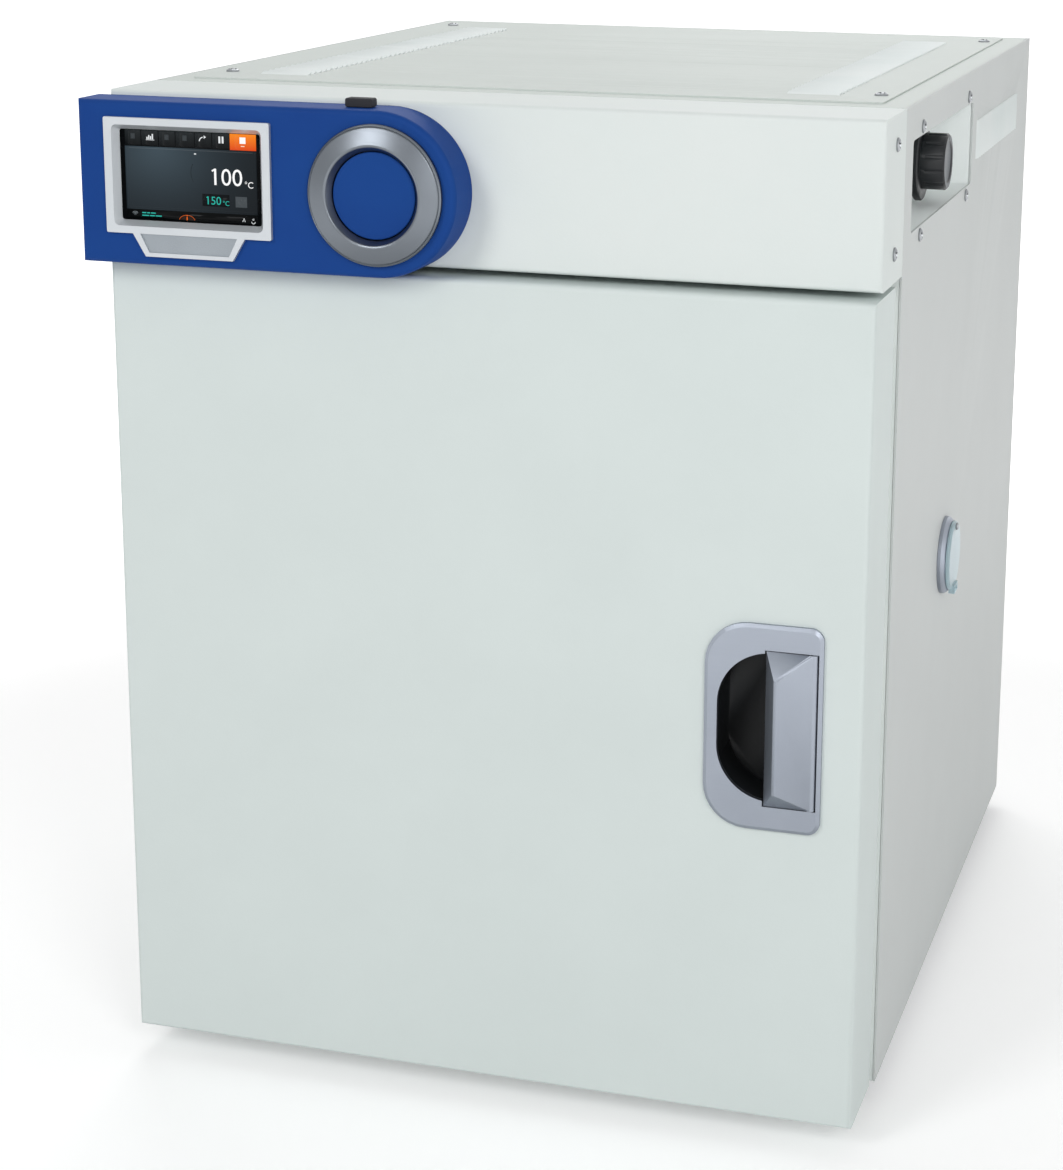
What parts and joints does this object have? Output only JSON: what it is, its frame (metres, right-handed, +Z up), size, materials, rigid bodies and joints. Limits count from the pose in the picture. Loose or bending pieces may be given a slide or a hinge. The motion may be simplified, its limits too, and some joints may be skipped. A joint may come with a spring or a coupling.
{
  "type": "laboratory incubator",
  "caption": "Bench-top laboratory incubator with a hinged insulated door, paddle handle, dial-and-screen controller, side damper recess and access port.",
  "frame": {"origin": "on the bench, under the middle of the object's outer box", "axes": "+X to the right of someone facing the door, +Y to the back, +Z up"},
  "size_m": [0.5639, 0.7263, 0.7236],
  "materials": {
    "front_paint": "smooth satin powder coat, pale grey-white",
    "door_paint": "smooth satin powder coat, pale grey-white",
    "side_paint": "smooth satin powder coat, light grey",
    "roof_paint": "smooth satin powder coat, light grey",
    "zinc_sheet": "galvanised sheet",
    "screw_steel": "plated steel",
    "motor_steel": "dark motor enamel",
    "heater_steel": "heat-tinted stainless sheath",
    "foot_rubber": "matt black rubber",
    "black_rubber": "smooth black rubber",
    "white_rubber": "soft white seal rubber",
    "stainless": "brushed stainless steel",
    "shelf_wire": "white coated steel wire",
    "wool": "mineral wool slab",
    "white_nylon": "moulded nylon",
    "satin_silver": "satin anodised aluminium",
    "silver_plastic": "silver lacquered ABS",
    "dial_metal": "turned and satin anodised aluminium",
    "clear_plastic": "frosted translucent polypropylene",
    "black_plastic": "fine textured black ABS",
    "blue_plastic": "satin moulded blue ABS",
    "screen_glass": "dark display glass",
    "circuit_board": "green circuit board"
  },
  "bodies": {
    "cabinet": {"side_panel_left": "side_paint", "side_panel_right": "side_paint", "top_frame": "roof_paint", "top_cover": "roof_paint", "rear_panel": "side_paint", "base_pan": "zinc_sheet", "front_frame": "front_paint", "panel_screws": "screw_steel", "rubber_feet": "foot_rubber", "chamber_liner": "stainless", "side_insulation": "wool", "top_insulation": "wool", "bottom_insulation": "wool", "rear_insulation": "wool", "control_tray": "zinc_sheet", "rear_bulkhead": "zinc_sheet", "shelf_rack_left": "stainless", "shelf_rack_right": "stainless", "shelf_lower": "shelf_wire", "shelf_upper": "shelf_wire", "air_baffle": "stainless", "fan_motor": "motor_steel", "heater_element": "heater_steel", "temperature_sensor": "stainless", "port_tube": "white_nylon", "port_flange": "satin_silver", "port_cover_screw": "screw_steel", "recess_box": "front_paint", "exhaust_duct": "white_nylon", "data_port": "black_plastic", "fascia_panel": "front_paint", "panel_housing": "blue_plastic", "screen_bezel": "silver_plastic", "display_glass": "screen_glass", "display_module": "zinc_sheet", "control_board": "circuit_board", "dial_encoder": "black_plastic", "usb_socket": "zinc_sheet", "power_board": "circuit_board", "mains_inlet": "black_plastic", "hinge_brackets": "zinc_sheet", "hinge_pins": "screw_steel"},
    "door": {"door_skin": "door_paint", "door_inner_panel": "stainless", "door_insulation": "wool", "door_seal": "white_rubber", "hinge_bushes": "white_nylon", "handle_plate": "satin_silver", "handle_cup": "black_plastic", "paddle_pin": "screw_steel", "paddle_spring": "screw_steel"},
    "paddle": {"handle_paddle": "satin_silver"},
    "ejector": {"ejector_pin": "white_nylon"},
    "dial": {"dial_ring": "dial_metal"},
    "button": {"dial_button": "blue_plastic"},
    "socket_cap": {"usb_cap": "black_rubber"},
    "damper": {"damper_knob": "black_plastic", "damper_shaft": "screw_steel"},
    "swing_cover": {"port_cover": "clear_plastic"},
    "fan": {"fan_wheel": "zinc_sheet"}
  },
  "joints": [
    {"name": "door_hinge", "type": "hinge", "parent": "cabinet", "child": "door", "pos_m": [-0.264, -0.271, 0.31], "axis": [0, 0, -1], "range_deg": [0, 115]},
    {"name": "paddle_pull", "type": "hinge", "parent": "door", "child": "paddle", "pos_m": [0.237, -0.33355, 0.31], "axis": [0, 0, 1], "range_deg": [0, 22], "stiffness_Nm_per_rad": 2},
    {"name": "ejector_push", "type": "slide", "parent": "door", "child": "ejector", "axis": [0, 1, 0], "range_m": [0, 0.0043]},
    {"name": "dial_turn", "type": "hinge", "parent": "cabinet", "child": "dial", "pos_m": [-0.0625, -0.3543, 0.6605], "axis": [0, -1, 0], "continuous": true},
    {"name": "button_press", "type": "slide", "parent": "cabinet", "child": "button", "axis": [0, 1, 0], "range_m": [0, 0.0012], "stiffness_N_per_m": 400},
    {"name": "cap_lift", "type": "slide", "parent": "cabinet", "child": "socket_cap", "axis": [0, 0, 1], "range_m": [0, 0.012]},
    {"name": "damper_turn", "type": "hinge", "parent": "cabinet", "child": "damper", "pos_m": [0.24, -0.082, 0.6645], "axis": [1, 0, 0], "range_deg": [0, 90]},
    {"name": "port_cover_swing", "type": "hinge", "parent": "cabinet", "child": "swing_cover", "pos_m": [0.279, -0.024, 0.3755], "axis": [1, 0, 0], "range_deg": [0, 150]},
    {"name": "fan_spin", "type": "hinge", "parent": "cabinet", "child": "fan", "pos_m": [0, 0.1, 0.312], "axis": [0, 1, 0], "continuous": true}
  ],
  "couplings": [
    {"joint": "ejector_push", "follows": "paddle_pull", "m_per_rad": 0.011199}
  ]
}
